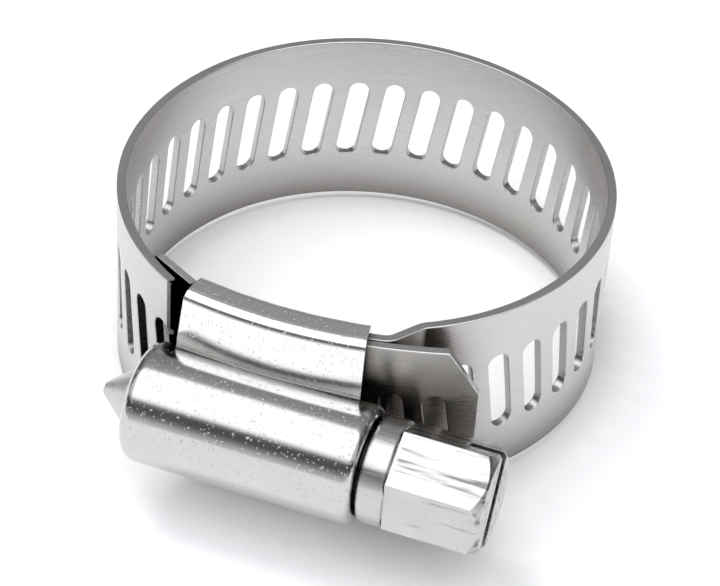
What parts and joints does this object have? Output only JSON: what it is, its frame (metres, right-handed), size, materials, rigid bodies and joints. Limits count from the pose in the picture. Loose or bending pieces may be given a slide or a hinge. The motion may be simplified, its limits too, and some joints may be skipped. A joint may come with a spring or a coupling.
{
  "type": "hose clamp",
  "caption": "Worm-drive hose clamp: slotted steel band in a loop, folded screw housing, slotted hex-head worm screw and a free band tail, opened to its largest hose size.",
  "frame": {"origin": "centre of the hose at mid width of the band", "axes": "+Z along the hose's axis, +X along the worm screw towards its hex head, housing on the -Y side"},
  "size_m": [0.0314, 0.0385, 0.0138],
  "materials": {
    "band_steel": "satin cold-rolled stainless strip",
    "housing_steel": "bright stamped stainless",
    "screw_steel": "bright turned and drawn stainless"
  },
  "bodies": {
    "housing": {"housing": "housing_steel", "saddle": "housing_steel", "band_fixed_end": "band_steel"},
    "worm_screw": {"worm_screw": "screw_steel"},
    "band_tail": {"band_tail": "band_steel"},
    "saddle_tongue": {"saddle_tongue": "housing_steel"},
    "band_link_12": {"band_link_12": "band_steel"},
    "band_link_11": {"band_link_11": "band_steel"},
    "band_link_10": {"band_link_10": "band_steel"},
    "band_link_09": {"band_link_09": "band_steel"},
    "band_link_08": {"band_link_08": "band_steel"},
    "band_link_07": {"band_link_07": "band_steel"},
    "band_link_06": {"band_link_06": "band_steel"},
    "band_link_05": {"band_link_05": "band_steel"},
    "band_link_04": {"band_link_04": "band_steel"},
    "band_link_03": {"band_link_03": "band_steel"},
    "band_link_02": {"band_link_02": "band_steel"},
    "band_link_01": {"band_link_01": "band_steel"}
  },
  "joints": [
    {"name": "tail_feed", "type": "hinge", "parent": "housing", "child": "band_tail", "pos_m": [0, 0.01358, 0], "axis": [0, 0, 1], "range_deg": [0, 12.13]},
    {"name": "screw_turn", "type": "hinge", "parent": "housing", "child": "worm_screw", "pos_m": [0, -0.0192, 0], "axis": [1, 0, 0], "range_deg": [0, 901]},
    {"name": "loop_flex_12", "type": "hinge", "parent": "housing", "child": "band_link_12", "pos_m": [0.01525, -0.00123, 0], "axis": [0, 0, 1], "range_deg": [0, 3.31]},
    {"name": "loop_flex_11", "type": "hinge", "parent": "band_link_12", "child": "band_link_11", "pos_m": [0.01399, 0.0062, 0], "axis": [0, 0, 1], "range_deg": [0, 3.05]},
    {"name": "loop_flex_10", "type": "hinge", "parent": "band_link_11", "child": "band_link_10", "pos_m": [0.00932, 0.01213, 0], "axis": [0, 0, 1], "range_deg": [0, 2.51]},
    {"name": "loop_flex_09", "type": "hinge", "parent": "band_link_10", "child": "band_link_09", "pos_m": [0.0024, 0.01511, 0], "axis": [0, 0, 1], "range_deg": [0, 1.87]},
    {"name": "loop_flex_08", "type": "hinge", "parent": "band_link_09", "child": "band_link_08", "pos_m": [-0.00511, 0.01442, 0], "axis": [0, 0, 1], "range_deg": [0, 1.3]},
    {"name": "loop_flex_07", "type": "hinge", "parent": "band_link_08", "child": "band_link_07", "pos_m": [-0.01138, 0.01023, 0], "axis": [0, 0, 1], "range_deg": [0, 0.9499]},
    {"name": "loop_flex_06", "type": "hinge", "parent": "band_link_07", "child": "band_link_06", "pos_m": [-0.01493, 0.00356, 0], "axis": [0, 0, 1], "range_deg": [0, 0.9062]},
    {"name": "loop_flex_05", "type": "hinge", "parent": "band_link_06", "child": "band_link_05", "pos_m": [-0.01517, -0.00399, 0], "axis": [0, 0, 1], "range_deg": [0, 1.16]},
    {"name": "loop_flex_04", "type": "hinge", "parent": "band_link_05", "child": "band_link_04", "pos_m": [-0.01209, -0.01089, 0], "axis": [0, 0, 1], "range_deg": [0, 1.65]},
    {"name": "loop_flex_03", "type": "hinge", "parent": "band_link_04", "child": "band_link_03", "pos_m": [-0.01041, -0.01279, 0], "axis": [0, 0, 1], "range_deg": [0, 16.26]},
    {"name": "loop_flex_02", "type": "hinge", "parent": "band_link_03", "child": "band_link_02", "pos_m": [-0.00847, -0.01443, 0], "axis": [0, 0, 1], "range_deg": [-3.8, 0]},
    {"name": "loop_flex_01", "type": "hinge", "parent": "band_link_02", "child": "band_link_01", "pos_m": [-0.0063, -0.01575, 0], "axis": [0, 0, 1], "range_deg": [-16.89, 0]},
    {"name": "tongue_flex", "type": "hinge", "parent": "housing", "child": "saddle_tongue", "pos_m": [-0.00609, -0.01454, 0], "axis": [0, 0, 1], "range_deg": [-22.02, 0]}
  ],
  "couplings": [
    {"joint": "screw_turn", "follows": "tail_feed", "ratio": 74.211},
    {"joint": "loop_flex_12", "follows": "tail_feed", "ratio": 0.27124},
    {"joint": "loop_flex_11", "follows": "tail_feed", "ratio": 0.24951},
    {"joint": "loop_flex_10", "follows": "tail_feed", "ratio": 0.20568},
    {"joint": "loop_flex_09", "follows": "tail_feed", "ratio": 0.15274},
    {"joint": "loop_flex_08", "follows": "tail_feed", "ratio": 0.10557},
    {"joint": "loop_flex_07", "follows": "tail_feed", "ratio": 0.076679},
    {"joint": "loop_flex_06", "follows": "tail_feed", "ratio": 0.073073},
    {"joint": "loop_flex_05", "follows": "tail_feed", "ratio": 0.09399},
    {"joint": "loop_flex_04", "follows": "tail_feed", "ratio": 0.13481},
    {"joint": "loop_flex_03", "follows": "tail_feed", "ratio": 1.3393},
    {"joint": "loop_flex_02", "follows": "tail_feed", "ratio": -0.31141},
    {"joint": "loop_flex_01", "follows": "tail_feed", "ratio": -1.3912},
    {"joint": "tongue_flex", "follows": "tail_feed", "ratio": -1.814}
  ]
}
